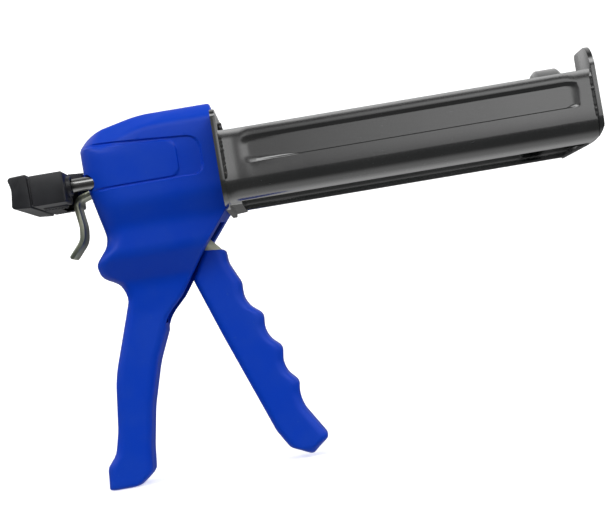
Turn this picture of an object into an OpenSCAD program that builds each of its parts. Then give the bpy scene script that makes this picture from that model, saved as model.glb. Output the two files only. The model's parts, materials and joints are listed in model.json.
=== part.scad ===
// Hand gun for a pair of side-by-side two-part cartridges. A pressed steel tray
// holds the cartridges and two push rods empty them through the front notch.
// The origin is the centre of the hand grip, +X points to the front, +Z up.

/* [Push rods] */
// Diameter of each push rod
rod_d = 8; // [6:0.1:10]
// Distance between the two rod axes
rod_spacing = 47; // [40:0.5:60]
// Height of the rod axes above the centre of the hand grip
rod_height = 100; // [90:1:120]
// Radial running clearance of a rod in its guides
rod_gap = 0.05; // [0.02:0.01:0.1]

/* [Cartridge tray] */
// Clear length between the two end plates
tray_length = 219.5; // [150:0.5:300]
// Diameter of each cartridge
cartridge_d = 44; // [34:0.5:46]
// Room between a cartridge and the side wall
tray_side_gap = 1.9; // [1:0.1:4]
// Room between a cartridge and the floor
tray_floor_gap = 5; // [1:0.1:6]
// Thickness of the tray's sheet steel
sheet_t = 1.6; // [1:0.1:2.5]
// Outer radius of the long bends between floor and walls
tray_bend_r = 14; // [10:0.5:18]
// Height of the side walls above the rod axes
tray_wall_rise = 14.8; // [8:0.1:25]
// Outer radius of the bend under the front plate
front_bend_r = 12; // [6:0.5:14]
// Height of the pressed panel in each side wall
panel_height = 14.7; // [8:0.1:18]
// Depth of the pressed panel
panel_depth = 0.8; // [0.3:0.1:1.2]

/* [End plates] */
// Thickness of the carrier plate and of the front plate
plate_t = 3; // [2:0.1:5]
// How far the carrier plate stands out beside the tray
carrier_margin = 4; // [2:0.5:8]
// How far the carrier plate reaches below the tray
carrier_below = 2.4; // [1:0.1:6]
// How far the carrier plate reaches above the tray walls
carrier_above = 12.9; // [4:0.1:16]
// Height of the tall ear of the front plate above the rod axes
ear_rise = 29; // [20:0.5:36]
// Height of the low side of the front plate above the rod axes
low_side_rise = 17; // [14:0.5:20]
// Radius of the notch for the cartridge outlet
notch_r = 12; // [8:0.5:16]
// Leg length of the weld beads
weld_leg = 4; // [2:0.5:6]

/* [Housing] */
// Distance from the grip's centre to the front face of the housing
housing_front = 66; // [60:0.5:80]
// Distance from the grip's centre to the rear face of the housing
housing_back = 16.6; // [14:0.1:22]
// Wall thickness of the two housing shells
wall = 3; // [2:0.1:3.8]
// Plastic beside each rod, out to the side face
rod_cover = 6.5; // [6:0.1:10]
// Distance from the grip's centre down to the heel of the handle
handle_drop = 84.7; // [75:0.1:110]
// Half the width of the handle
handle_half = 15.5; // [12:0.5:20]
// Plan radius of the rear corners of the housing
rear_corner_r = 20; // [14:0.5:22]
// Depth of the sunken field on each side
field_depth = 1.2; // [0.4:0.1:1.5]
// Diameter of the housing screws
screw_d = 3.5; // [3:0.1:4]

/* [Trigger] */
// Distance of the trigger pivot in front of the grip's centre
pivot_x = 34; // [30:0.5:40]
// Distance of the trigger pivot below the rod axes
pivot_drop = 30; // [26:0.5:34]
// Diameter of the trigger pivot pin
pivot_d = 6; // [4:0.1:8]
// Distance from the pivot to the roller at the top of the lever
arm_length = 19; // [16:0.1:20]
// Diameter of the roller
roller_d = 8; // [6:0.1:9]
// Half the width of the finger grip
grip_half = 12.5; // [11:0.5:15]
// Half the width of the steel trigger lever
lever_half = 8.5; // [7:0.1:9.5]
// Spacing of the finger grooves
finger_pitch = 23.4; // [18:0.1:26]
// Depth of the finger grooves
finger_depth = 3.6; // [1:0.1:5]

/* [Drive and catch] */
// Thickness of the drive plate
drive_t = 4; // [3:0.1:5]
// Radial clearance of the rods in the drive plate and carrier plate
drive_gap = 0.3; // [0.2:0.05:0.6]
// Thickness of the release lever's sheet
catch_t = 3; // [2:0.1:3.5]
// Radial clearance of the rods in the catch plate
catch_gap = 0.5; // [0.45:0.05:0.8]
// Half the width of the release lever's tail
tail_half = 9.5; // [7:0.5:10]
// Wire diameter of the springs
spring_wire = 1.2; // [0.8:0.1:1.4]

/* [Knob and pushers] */
// Half the width of the pull knob
knob_half = 36; // [33:0.5:40]
// Height of the pull knob
knob_height = 18.5; // [16:0.5:24]
// Length of the knob body
knob_length = 20; // [16:0.5:30]
// Length of the rear cap of the knob
cap_length = 10.8; // [8:0.1:14]
// Thickness of each pusher disc
pusher_t = 16; // [12:0.5:24]
// Room between a pusher disc and the cartridge bore
pusher_gap = 0.2; // [0.1:0.1:1]

/* [Hidden] */
$fn = 64;

// Clearance between pieces that are fixed to each other
seat_gap = 0.05;
far = 200; // reach of a cut that runs clear of the object

rod_r = rod_d / 2;
rod_y = rod_spacing / 2;
pivot_z = rod_height - pivot_drop;
housing_half = rod_y + rod_r + rod_cover;

tray_x0 = housing_front + plate_t;
tray_x1 = tray_x0 + tray_length;
tray_half = rod_y + cartridge_d / 2 + tray_side_gap + sheet_t;
tray_floor = rod_height - cartridge_d / 2 - tray_floor_gap - sheet_t;
tray_top = rod_height + tray_wall_rise;
front_x = tray_x1 + plate_t;
window_half = tray_half - 8;
window_x0 = tray_x0 + 7;
window_x1 = front_x - 9;

guide_t = 6;       // thickness of the guide blocks
guide_rise = 10;   // half the height of the guide blocks
guide_lip = 2;     // rib that laps the edge of a guide block
guide_half = housing_half - wall - 1;
front_guide_x = housing_front - wall - guide_t;
rear_guide_x = 14;
rib_bottom = rod_height - 16; // lowest edge of the ribs under the guides

roller_z = pivot_z + arm_length;
drive_x = pivot_x + roller_d / 2 + seat_gap;
drive_rise = 12;
drive_bottom = roller_z - 5;

catch_x = -4;      // rear face of the catch plate
catch_hinge_z = rod_height + 13.5;
catch_half = rod_y + rod_r + 1;

knob_x1 = -housing_back - 9.4;
knob_x0 = knob_x1 - knob_length;
cap_x1 = knob_x0 - seat_gap;
cap_x0 = cap_x1 - cap_length - 1.2;
knob_bottom = rod_height - 10;
knob_top = knob_bottom + knob_height;
knob_screw_d = 5;

pusher_r = cartridge_d / 2 - pusher_gap;
pusher_x1 = tray_x1 - 13.5;
pusher_x0 = pusher_x1 - pusher_t;
nut_x0 = pusher_x1 - 8;
nut_t = 6;
rod_x0 = knob_x0;
rod_x1 = nut_x0 + nut_t + 1;

// ---- Outline functions: each point of an outline is [x, y, corner radius] ----

function unit(v) = v / norm(v);
function xy(p) = [p[0], p[1]];
function cross2(u, v) = u[0] * v[1] - u[1] * v[0];
function wrap(list, i) = list[(i + len(list)) % len(list)];

// Arc that rounds the corner b between its neighbours a and c
function corner(a, b, c, r) =
    let (u = unit(a - b), v = unit(c - b), half = acos(u * v) / 2)
    r <= 0 || half > 89.5 ? [b] :
    let (
        reach = min(r / tan(half), 0.49 * norm(a - b), 0.49 * norm(c - b)),
        arc_r = reach * tan(half),
        centre = b + unit(u + v) * arc_r / sin(half),
        from = b + u * reach - centre,
        side = cross2(b - a, c - b) > 0 ? 1 : -1,
        turn = side * (180 - 2 * half),
        steps = max(2, ceil(abs(turn) / 9))
    )
    [for (i = [0:steps]) let (t = atan2(from[1], from[0]) + turn * i / steps)
        centre + arc_r * [cos(t), sin(t)]];

// Closed outline with every corner rounded
function rounded(pts) = [for (i = [0:len(pts) - 1])
    each corner(xy(wrap(pts, i - 1)), xy(pts[i]), xy(wrap(pts, i + 1)), pts[i][2])];

// Counterclockwise outline moved inwards by d, with its radii kept parallel
function inset(pts, d) = [for (i = [0:len(pts) - 1])
    let (
        p = xy(pts[i]),
        e1 = unit(p - xy(wrap(pts, i - 1))),
        e2 = unit(xy(wrap(pts, i + 1)) - p),
        n1 = [-e1[1], e1[0]],
        n2 = [-e2[1], e2[0]],
        q = p + d * (n1 + n2) / (1 + n1 * n2),
        r = cross2(e1, e2) > 0 ? max(0, pts[i][2] - d) : pts[i][2] + d
    ) [q[0], q[1], r]];

// Open path with its inner corners rounded
function smooth_path(pts) = [for (i = [0:len(pts) - 1])
    each (i == 0 || i == len(pts) - 1) ? [xy(pts[i])]
        : corner(xy(pts[i - 1]), xy(pts[i]), xy(pts[i + 1]), pts[i][2])];

// Outline of a strip of thickness t that follows an open path
function strip(path, t) =
    let (
        n = len(path),
        side = [for (i = [0:n - 1])
            let (e = unit(path[min(i + 1, n - 1)] - path[max(i - 1, 0)])) [-e[1], e[0]] * t / 2]
    )
    concat([for (i = [0:n - 1]) path[i] + side[i]],
           [for (i = [n - 1:-1:0]) path[i] - side[i]]);

// ---- Placing helpers ----

// Extrudes an outline in (y, z) from x0 to x1
module along_x(x0, x1) {
    translate([x0, 0, 0]) rotate([90, 0, 90]) linear_extrude(x1 - x0) children();
}

// Extrudes an outline in (x, z) to both sides of the middle plane
module across(half) {
    rotate([90, 0, 0]) linear_extrude(2 * half, center = true) children();
}

module cylinder_x(x0, x1, r, y = 0, z = rod_height) {
    translate([x0, y, z]) rotate([0, 90, 0]) cylinder(h = x1 - x0, r = r);
}

module cylinder_y(y0, y1, r, x, z) {
    translate([x, y1, z]) rotate([90, 0, 0]) cylinder(h = y1 - y0, r = r);
}

module block(low, high) {
    translate(low) cube(high - low);
}

// Everything between two distances from the middle plane, on one side of it
module layer(side, y0, y1) {
    block([-far, min(side * y0, side * y1), -far], [3 * far, max(side * y0, side * y1), 2 * far]);
}

module both_rods() {
    for (side = [-1, 1]) translate([0, side * rod_y, 0]) children();
}

module rod_holes(x0, x1, gap) {
    both_rods() cylinder_x(x0, x1, rod_r + gap);
}

// ---- Housing ----

housing_side = [
    [housing_front, rod_height + 35.6, 2],
    [22, rod_height + 35.6, 60],
    [-6, rod_height + 29.5, 40],
    [-housing_back, rod_height + 24, 4],
    [-housing_back - 0.2, rod_height + 4, 30],
    [-8, rod_height - 37.5, 12],
    [-17.4, rod_height - 49.4, 5],
    [-15.8, rod_height - 57.5, 6],
    [-5.5, rod_height - 63, 8],
    [-2.4, rod_height - 72, 8],
    [-18, -18, 70],
    [-21.8, -50, 30],
    [-25.2, -64, 12],
    [-31.4, 13.5 - handle_drop, 5],
    [-32, -handle_drop, 1.5],
    [-13, -handle_drop, 8],
    [-4.8, 6 - handle_drop, 5],
    [-3.3, -64, 20],
    [1, -40, 60],
    [8.9, -13, 60],
    [21.5, 15, 24],
    [30, 24, 24],
    [48, rod_height - 50.5, 3],
    [housing_front, rod_height - 28.5, 2]
];

// Half of the cross-section mirrored about the middle plane, in (y, z)
housing_half_section = [
    [housing_half - 10.5, rod_height + 38, 3],
    [housing_half, rod_height + 17, 6],
    [housing_half, rod_height - 16, 14],
    [housing_half - 6, rod_height - 30, 12],
    [housing_half - 6, rod_height - 46, 12],
    [handle_half + 1.5, rod_height - 64, 14],
    [handle_half, rod_height - 82, 20],
    [handle_half + 0.5, -handle_drop - 6, 2]
];
housing_section = concat(
    [for (p = housing_half_section) [-p[0], p[1], p[2]]],
    [for (i = [len(housing_half_section) - 1:-1:0]) housing_half_section[i]]
);

housing_plan = [
    [-housing_back - 0.4, -housing_half, rear_corner_r],
    [housing_front, -housing_half, 1],
    [housing_front, housing_half, 1],
    [-housing_back - 0.4, housing_half, rear_corner_r]
];

handle_plan = [
    [-38, -handle_half - 3, 12],
    [40, -handle_half - 3, 12],
    [40, handle_half + 3, 12],
    [-38, handle_half + 3, 12]
];
head_floor = 28; // the head's plan ends and the handle's plan begins here

// Positions of the housing screws and the local half width there: [x, z, half]
screw_places = [
    [54, rod_height + 24, housing_half - 4],
    [8, rod_height + 22, housing_half - 3],
    [-1, rod_height - 28, housing_half - 6],
    [7, 31, handle_half + 1.5],
    [-6, -20, handle_half],
    [-17, 12 - handle_drop, handle_half]
];
boss_r = screw_d / 2 + 2.2;

// The housing's full form, moved inwards by d
module housing_form(d) {
    intersection() {
        across(far) polygon(rounded(inset(housing_side, d)));
        along_x(-far, far) polygon(rounded(inset(housing_section, d)));
        union() {
            translate([0, 0, head_floor])
                linear_extrude(far) polygon(rounded(inset(housing_plan, d)));
            translate([0, 0, -far])
                linear_extrude(far + head_floor + seat_gap) polygon(rounded(inset(handle_plan, d)));
        }
    }
}

// Ribs that hold a guide block at x by its top and bottom edges
module guide_ribs(x) {
    difference() {
        intersection() {
            housing_form(0.5);
            union() {
                block([x - guide_lip, -far, rib_bottom],
                      [x + guide_t + guide_lip, far, rod_height - guide_rise + guide_lip]);
                block([x - guide_lip, -far, rod_height + guide_rise - guide_lip],
                      [x + guide_t + guide_lip, far, rod_height + 50]);
            }
        }
        block([x - seat_gap, -far, rod_height - guide_rise - seat_gap],
              [x + guide_t + seat_gap, far, rod_height + guide_rise + seat_gap]);
    }
}

// Rib with the groove that the top edge of the catch plate rocks in
module catch_seat() {
    difference() {
        intersection() {
            housing_form(0.5);
            block([catch_x - 3, -far, catch_hinge_z - 1.5], [catch_x + catch_t + 3, far, rod_height + 40]);
        }
        block([catch_x - 0.35, -far, 0],
              [catch_x + catch_t + 0.35, far, catch_hinge_z + catch_t / 2 + seat_gap]);
    }
}

// Sunken field on one side face, open to the rear
module side_field(side) {
    field = [
        [56.6, rod_height - 6.5, 6],
        [56.6, rod_height + 16.7, 8],
        [-40, rod_height + 24.5, 0],
        [-40, rod_height - 6.5, 0]
    ];
    plaque = [
        [42.3, rod_height - 5.3, 5],
        [42.3, rod_height + 16.6, 6],
        [-40, rod_height + 22.8, 0],
        [-40, rod_height - 5.3, 0]
    ];
    difference() {
        intersection() {
            across(far) polygon(rounded(field));
            layer(side, housing_half - field_depth, far);
        }
        intersection() {
            across(far) polygon(rounded(plaque));
            layer(side, housing_half - field_depth - 1, housing_half - 0.3);
        }
    }
}

// Everything cut out of both halves
module housing_cuts() {
    rod_holes(-far, far, 1);
    // slot for the trigger, from the front face down the neck of the handle
    across(grip_half + 1) polygon([
        [17, 2], [17, 44], [26, pivot_z - 4], [far, pivot_z - 4], [far, 2]
    ]);
    // slot for the release lever's tail
    block([-far, -tail_half - 1, rod_height - 10], [catch_x, tail_half + 1, rod_height - 1.5]);
    side_field(-1);
    side_field(1);
    cylinder_y(-pin_half - seat_gap, pin_half + seat_gap, pivot_d / 2 + seat_gap, pivot_x, pivot_z);
    for (p = carrier_screw_places)
        cylinder_x(housing_front - 11, housing_front + 1, 2 + seat_gap, p[0], p[1]);
}

module housing_shell(side) {
    low = side < 0 ? -far : 0;
    difference() {
        intersection() {
            union() {
                difference() {
                    housing_form(0);
                    housing_form(wall);
                }
                guide_ribs(front_guide_x);
                guide_ribs(rear_guide_x);
                catch_seat();
                intersection() {
                    housing_form(0.5);
                    union() {
                        for (s = screw_places) cylinder_y(-far, far, boss_r, s[0], s[1]);
                        for (p = carrier_screw_places)
                            cylinder_x(housing_front - 12, housing_front - 1, 4.2, p[0], p[1]);
                        difference() {
                            cylinder_y(-far, far, pivot_d / 2 + 3, pivot_x, pivot_z);
                            layer(1, -lever_half - 1, lever_half + 1);
                        }
                    }
                }
            }
            block([-far, low, -far], [far, low + far, far]);
        }
        housing_cuts();
        for (s = screw_places) {
            cylinder_y(-s[2] + 4, far, screw_d / 2 + seat_gap, s[0], s[1]);
            cylinder_y(s[2] - 3.5, far, screw_head_r + 0.3, s[0], s[1]);
        }
    }
}

screw_head_r = screw_d / 2 + 1.4;
pin_half = housing_half - 6 - wall;
carrier_screw_places = [for (y = [-1, 1], dz = [-19, 19]) [y * (rod_y + 1), rod_height + dz]];

module housing_right() {
    color("royalblue") housing_shell(-1);
}

module housing_left() {
    color("royalblue") housing_shell(1);
}

module housing_screws() {
    color("dimgray") for (s = screw_places) difference() {
        union() {
            cylinder_y(-s[2] + 5, s[2] - 3.5 + seat_gap, screw_d / 2, s[0], s[1]);
            cylinder_y(s[2] - 3.5 + seat_gap, s[2] - 1.2, screw_head_r, s[0], s[1]);
        }
        for (turn = [0, 90]) translate([s[0], s[2] - 1.2, s[1]]) rotate([0, turn, 0])
            cube([screw_d, 2.4, 0.8], center = true);
    }
}

module rod_guide(x) {
    difference() {
        block([x, -guide_half, rod_height - guide_rise], [x + guide_t, guide_half, rod_height + guide_rise]);
        rod_holes(x - 1, x + guide_t + 1, rod_gap);
        // weight-saving window between the bores
        block([x - 1, -rod_y / 2, rod_height - guide_rise / 2],
              [x + guide_t + 1, rod_y / 2, rod_height + guide_rise / 2]);
    }
}

module rear_guide() {
    color("gray") rod_guide(rear_guide_x);
}

module front_guide() {
    color("gray") rod_guide(front_guide_x);
}

// ---- Cartridge tray and its end plates ----

// Cross-section of the tray in (y, z), moved inwards by d and open upwards
function tray_section(d) = inset([
    [-tray_half, tray_floor, tray_bend_r],
    [tray_half, tray_floor, tray_bend_r],
    [tray_half, tray_top + far, 0],
    [-tray_half, tray_top + far, 0]
], d);

// Side outline of the tray in (x, z), with the bend under the front plate
function tray_side(d) = inset([
    [0, tray_floor, 0],
    [front_x, tray_floor, front_bend_r],
    [front_x, tray_top + far, 0],
    [0, tray_top + far, 0]
], d);

module tray_form(d) {
    intersection() {
        along_x(0, front_x + far) polygon(rounded(tray_section(d)));
        across(far) polygon(rounded(tray_side(d)));
    }
}

// Rounded rectangle of a side panel, as a plate between two distances from the middle
module side_panel(y0, y1, margin) {
    panel_top = tray_top - 6.2;
    outline = inset([
        [tray_x0 + 13, panel_top - panel_height, 5],
        [tray_x1 - 9, panel_top - panel_height, 5],
        [tray_x1 - 9, panel_top, 5],
        [tray_x0 + 13, panel_top, 5]
    ], margin);
    for (side = [-1, 1]) intersection() {
        across(far) polygon(rounded(outline));
        layer(side, y0, y1);
    }
}

module cradle() {
    color([0.13, 0.14, 0.15]) difference() {
        union() {
            difference() {
                intersection() {
                    tray_form(0);
                    block([tray_x0, -far, 0], [tray_x1, far, tray_top]);
                }
                tray_form(sheet_t);
            }
            side_panel(tray_half - sheet_t + 0.01, tray_half - sheet_t - panel_depth, -sheet_t / 2);
        }
        side_panel(tray_half - panel_depth, tray_half + 5, 0);
        block([window_x0, -window_half, tray_floor - 5], [window_x1, window_half, tray_floor + sheet_t + 2]);
    }
}

module carrier_plate() {
    half = tray_half + carrier_margin;
    color([0.13, 0.14, 0.15]) difference() {
        along_x(housing_front, tray_x0) polygon(rounded([
            [-half, tray_floor - carrier_below, tray_bend_r + 3],
            [half, tray_floor - carrier_below, tray_bend_r + 3],
            [half, tray_top + carrier_above, 5],
            [-half, tray_top + carrier_above, 5]
        ]));
        rod_holes(0, far, drive_gap);
        for (p = carrier_screw_places) cylinder_x(0, far, 2 + seat_gap, p[0], p[1]);
    }
}

module carrier_screws() {
    color("dimgray") for (p = carrier_screw_places) difference() {
        union() {
            cylinder_x(housing_front - 10, tray_x0 + seat_gap, 2, p[0], p[1]);
            cylinder_x(tray_x0 + seat_gap, tray_x0 + 2, 3.6, p[0], p[1]);
        }
        for (turn = [0, 90]) translate([tray_x0 + 2, p[0], p[1]]) rotate([turn, 0, 0])
            cube([2, 4, 0.9], center = true);
    }
}

module front_plate() {
    half = tray_half + 1.5;
    color([0.13, 0.14, 0.15]) intersection() {
        across(far) polygon(rounded(tray_side(0)));
        difference() {
            along_x(tray_x1, front_x) polygon(rounded([
                [-half, tray_floor, tray_bend_r + 1.5],
                [half, tray_floor, tray_bend_r + 1.5],
                [half, rod_height + low_side_rise, 8],
                [notch_r + 2, rod_height + low_side_rise, 3],
                [notch_r, rod_height, 0],
                [-notch_r, rod_height, 0],
                [-notch_r - 2.5, rod_height + ear_rise, 3],
                [-half, rod_height + ear_rise, 13]
            ]));
            cylinder_x(tray_x0, front_x + 1, notch_r);
        }
    }
}

// Weld beads up both walls, on one side of a plate at x
module weld_beads(x, facing, leg) {
    low = tray_floor + tray_bend_r;
    for (side = [-1, 1]) translate([0, 0, low]) linear_extrude(rod_height + tray_wall_rise - low - 2)
        polygon([[x, side * tray_half], [x + facing * leg, side * tray_half], [x, side * (tray_half + leg)]]);
}

module rear_weld() {
    color([0.4, 0.41, 0.41]) weld_beads(tray_x0, 1, weld_leg);
}

module front_weld() {
    color([0.13, 0.14, 0.15]) weld_beads(tray_x1, -1, 1.4);
}

// ---- Trigger ----

grip_top = pivot_z - 20.7;
finger_start = [pivot_x + 32.5, pivot_z - 43];
finger_dir = unit([0.36, -0.93]);
finger_out = [-finger_dir[1], finger_dir[0]];
finger_bulge = 2.2;
// Crests between the finger grooves, on a slightly bowed line
crests = [for (i = [0:3]) finger_start + finger_dir * finger_pitch * i
    + finger_out * finger_bulge * sin(60 * i)];
grooves = [for (i = [0:2]) (crests[i] + crests[i + 1]) / 2 - finger_out * finger_depth * 1.6];
grip_toe = crests[3] + [0.8, -44.8];

grip_side = concat(
    [
        [pivot_x + 26, grip_top - 1, 2],
        [pivot_x + 12.4, grip_top, 2],
        [pivot_x + 3.8, pivot_z - 37, 4],
        [pivot_x + 15.8, pivot_z - 72.4, 40],
        [grip_toe[0] - 19.8, grip_toe[1] + 17.3, 10],
        [grip_toe[0] - 13, grip_toe[1] + 5.9, 6],
        [grip_toe[0], grip_toe[1], 2.5],
        [grip_toe[0] + 11.7, grip_toe[1] + 9.1, 3]
    ],
    [[crests[3][0] - 2.2, crests[3][1] - 11.5, 20]],
    [for (i = [3:-1:0]) each concat(
        [[crests[i][0], crests[i][1], 5]],
        i > 0 ? [[grooves[i - 1][0], grooves[i - 1][1], 13]] : []
    )],
    [[pivot_x + 26.6, pivot_z - 30, 10]]
);

lever_t = 2; // thickness of the lever's sheet
arm_end_r = roller_d / 2 - 0.4;
lever_side = [
    [pivot_x - 6.5, pivot_z + 2, 4],
    [pivot_x - 6.5, pivot_z - 6, 6],
    [pivot_x + 14, pivot_z - 25, 6],
    [pivot_x + 13.5, pivot_z - 38, 10],
    [pivot_x + 20, pivot_z - 62, 4],
    [pivot_x + 29, pivot_z - 60, 4],
    [pivot_x + 24.5, pivot_z - 22, 8],
    [pivot_x + 7, pivot_z - 2, 6],
    [pivot_x + arm_end_r, pivot_z + 8, 4],
    [pivot_x + arm_end_r, roller_z, 0],
    [pivot_x - arm_end_r, roller_z, 0]
];
rivet_places = [[pivot_x + 20, pivot_z - 33], [pivot_x + 22.5, pivot_z - 52]];
rivet_r = 2;
roller_pin_r = 1.5;

// Both cheeks of the lever in outline, moved inwards by d
module lever_outline(d) {
    polygon(rounded(inset(lever_side, d)));
}

module trigger_lever() {
    color("silver") difference() {
        union() {
            for (side = [-1, 1]) translate([0, side * (lever_half - lever_t / 2), 0]) across(lever_t / 2) {
                lever_outline(0);
                translate([pivot_x, roller_z]) circle(r = arm_end_r);
            }
            // web that joins the cheeks along their front edge
            across(lever_half - lever_t / 2) difference() {
                lever_outline(0);
                translate([-lever_t, 0]) lever_outline(-seat_gap);
                translate([0, grip_top + 4]) square(far);
                square([far, pivot_z - 60]);
            }
        }
        cylinder_y(-far, far, pivot_d / 2 + rod_gap, pivot_x, pivot_z);
        cylinder_y(-far, far, roller_pin_r + seat_gap, pivot_x, roller_z);
        for (p = rivet_places) cylinder_y(-far, far, rivet_r + seat_gap, p[0], p[1]);
    }
}

module trigger_grip() {
    color("royalblue") difference() {
        across(grip_half) polygon(rounded(grip_side));
        // pocket for the lever, open at the top
        across(lever_half + seat_gap) {
            lever_outline(-seat_gap);
            polygon([[pivot_x + 14, grip_top - 4], [pivot_x + 24.5, grip_top - 4],
                     [pivot_x + 24.5, grip_top + 9], [pivot_x + 12, grip_top + 9]]);
        }
        for (p = rivet_places) cylinder_y(-far, far, rivet_r + seat_gap, p[0], p[1]);
    }
}

module trigger_rivets() {
    color("silver") for (p = rivet_places)
        cylinder_y(-grip_half + 1, grip_half - 1, rivet_r, p[0], p[1]);
}

module trigger_roller() {
    color("silver") difference() {
        cylinder_y(-lever_half + lever_t + 0.3, lever_half - lever_t - 0.3, roller_d / 2, pivot_x, roller_z);
        cylinder_y(-far, far, roller_pin_r + seat_gap, pivot_x, roller_z);
    }
}

module roller_pin() {
    color("dimgray") cylinder_y(-lever_half - 0.8, lever_half + 0.8, roller_pin_r, pivot_x, roller_z);
}

module trigger_pin() {
    color("silver") cylinder_y(-pin_half, pin_half, pivot_d / 2, pivot_x, pivot_z);
}

// ---- Drive plate, catch and springs ----

module drive_plate() {
    color("silver") difference() {
        along_x(drive_x, drive_x + drive_t) polygon(rounded([
            [-catch_half, rod_height - 8, 4],
            [-lever_half - 4, drive_bottom, 3],
            [lever_half + 4, drive_bottom, 3],
            [catch_half, rod_height - 8, 4],
            [catch_half, rod_height + drive_rise, 4],
            [-catch_half, rod_height + drive_rise, 4]
        ]));
        rod_holes(0, far, drive_gap);
    }
}

tail_path = [
    [catch_x + catch_t / 2, rod_height - 4.5, 0],
    [-housing_back + 1, rod_height - 4.5, 8],
    [-housing_back - 9.2, rod_height - 7.5, 7],
    [-housing_back - 7, rod_height - 24, 16],
    [-housing_back - 8, rod_height - 32.5, 10],
    [-housing_back - 15.7, rod_height - 41.2, 0]
];

module release_lever() {
    color([0.72, 0.72, 0.6]) difference() {
        union() {
            along_x(catch_x, catch_x + catch_t) polygon(rounded([
                [-catch_half, rod_height - 9, 4],
                [-tail_half - 3, rod_height - 9, 3],
                [-tail_half - 1.5, rod_height - 4.5, 2],
                [tail_half + 1.5, rod_height - 4.5, 2],
                [tail_half + 3, rod_height - 9, 3],
                [catch_half, rod_height - 9, 4],
                [catch_half, catch_hinge_z, 0],
                [-catch_half, catch_hinge_z, 0]
            ]));
            cylinder_y(-catch_half, catch_half, catch_t / 2, catch_x + catch_t / 2, catch_hinge_z);
            across(tail_half) polygon(strip(smooth_path(tail_path), catch_t));
            tip = tail_path[len(tail_path) - 1];
            cylinder_y(-tail_half, tail_half, catch_t / 2, tip[0], tip[1]);
        }
        rod_holes(-far, far, catch_gap);
    }
}

// Coil of round wire about the X axis, from x0 to x1
module coil(x0, x1, r, turns) {
    sides = 8;
    per_turn = 16;
    rings = turns * per_turn;
    length = x1 - x0 - spring_wire;
    points = [for (i = [0:rings], j = [0:sides - 1])
        let (a = 360 * i / per_turn, b = 360 * j / sides, q = r + spring_wire / 2 * cos(b))
        [x0 + spring_wire / 2 + length * i / rings + spring_wire / 2 * sin(b), q * cos(a), q * sin(a)]];
    walls = [for (i = [0:rings - 1], j = [0:sides - 1])
        let (k = (j + 1) % sides)
        [i * sides + j, i * sides + k, (i + 1) * sides + k, (i + 1) * sides + j]];
    ends = [[for (j = [sides - 1:-1:0]) j], [for (j = [0:sides - 1]) rings * sides + j]];
    polyhedron(points, concat(walls, ends));
}

spring_r = rod_r + spring_wire / 2 + 0.6;

module drive_springs() {
    color("gainsboro") both_rods() translate([0, 0, rod_height])
        coil(drive_x + drive_t + seat_gap, front_guide_x - seat_gap, spring_r, 5);
}

module catch_springs() {
    color("gainsboro") both_rods() translate([0, 0, rod_height])
        coil(catch_x + catch_t + seat_gap, rear_guide_x - seat_gap, spring_r, 5);
}

// ---- Rods, pushers and knob ----

module push_rod(side) {
    difference() {
        cylinder_x(rod_x0, rod_x1, rod_r, side * rod_y);
        cylinder_x(rod_x0 - 1, rod_x0 + 14, knob_screw_d / 2 + seat_gap, side * rod_y);
        // groove for the retaining ring
        difference() {
            cylinder_x(pusher_x0 - 1.6, pusher_x0 - 0.4, rod_r + 1, side * rod_y);
            cylinder_x(pusher_x0 - 2, pusher_x0, rod_r - 0.6, side * rod_y);
        }
    }
}

module push_rod_right() {
    color("silver") push_rod(-1);
}

module push_rod_left() {
    color("silver") push_rod(1);
}

module pusher(side) {
    chamfer = 2;
    translate([pusher_x0, side * rod_y, rod_height]) rotate([90, 0, 90]) rotate_extrude()
        polygon([
            [rod_r + seat_gap, 0], [pusher_r - chamfer, 0], [pusher_r, chamfer],
            [pusher_r, pusher_t - chamfer], [pusher_r - chamfer, pusher_t],
            [nut_socket_r, pusher_t], [nut_socket_r, nut_x0 - pusher_x0], [rod_r + seat_gap, nut_x0 - pusher_x0]
        ]);
}

nut_socket_r = rod_d + 0.8;

module pusher_right() {
    color([0.2, 0.2, 0.21]) pusher(-1);
}

module pusher_left() {
    color([0.2, 0.2, 0.21]) pusher(1);
}

module pusher_nuts() {
    color("silver") both_rods() difference() {
        translate([nut_x0 + seat_gap, 0, rod_height]) rotate([0, 90, 0])
            cylinder(h = nut_t, r = rod_d - 0.5, $fn = 6);
        cylinder_x(0, 3 * far, rod_r + seat_gap);
    }
}

module pusher_clips() {
    color("silver") both_rods() difference() {
        cylinder_x(pusher_x0 - 1.5, pusher_x0 - 0.5, rod_r + 2.5);
        cylinder_x(pusher_x0 - 2, pusher_x0, rod_r - 0.6 + seat_gap);
        // open side of the ring
        block([pusher_x0 - 2, -rod_r * 0.6, rod_height - far], [pusher_x0, rod_r * 0.6, rod_height]);
    }
}

bumper_x1 = -housing_back - 1.8;

module pull_knob() {
    color([0.16, 0.16, 0.18]) difference() {
        union() {
            across(knob_half) polygon(rounded([
                [knob_x0, knob_bottom, 0], [knob_x1, knob_bottom, 1.5],
                [knob_x1, knob_top, 1.5], [knob_x0, knob_top, 0]
            ]));
            // bumper that stops the knob against the housing
            block([knob_x1 - 6, -9, rod_height + 0.5], [bumper_x1, 9, knob_top]);
            // collars round the rods
            both_rods() cylinder_x(knob_x1 - 1, knob_x1 + 2.5, rod_r + 2);
            // thumb pad with ribs underneath
            block([knob_x0 + 3, -20, knob_bottom - 1], [knob_x1 - 3, 20, knob_bottom + 1]);
            for (i = [-3:3]) cylinder_y(-18, 18, 0.8, (knob_x0 + knob_x1) / 2 + i * 2, knob_bottom - 1);
        }
        // notch that clears the release lever
        block([knob_x1 - 9, -tail_half - 2.5, -far], [far, tail_half + 2.5, rod_height + 0.5]);
        both_rods() cylinder_x(knob_x0 - 1, far, rod_r + seat_gap);
    }
}

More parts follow.
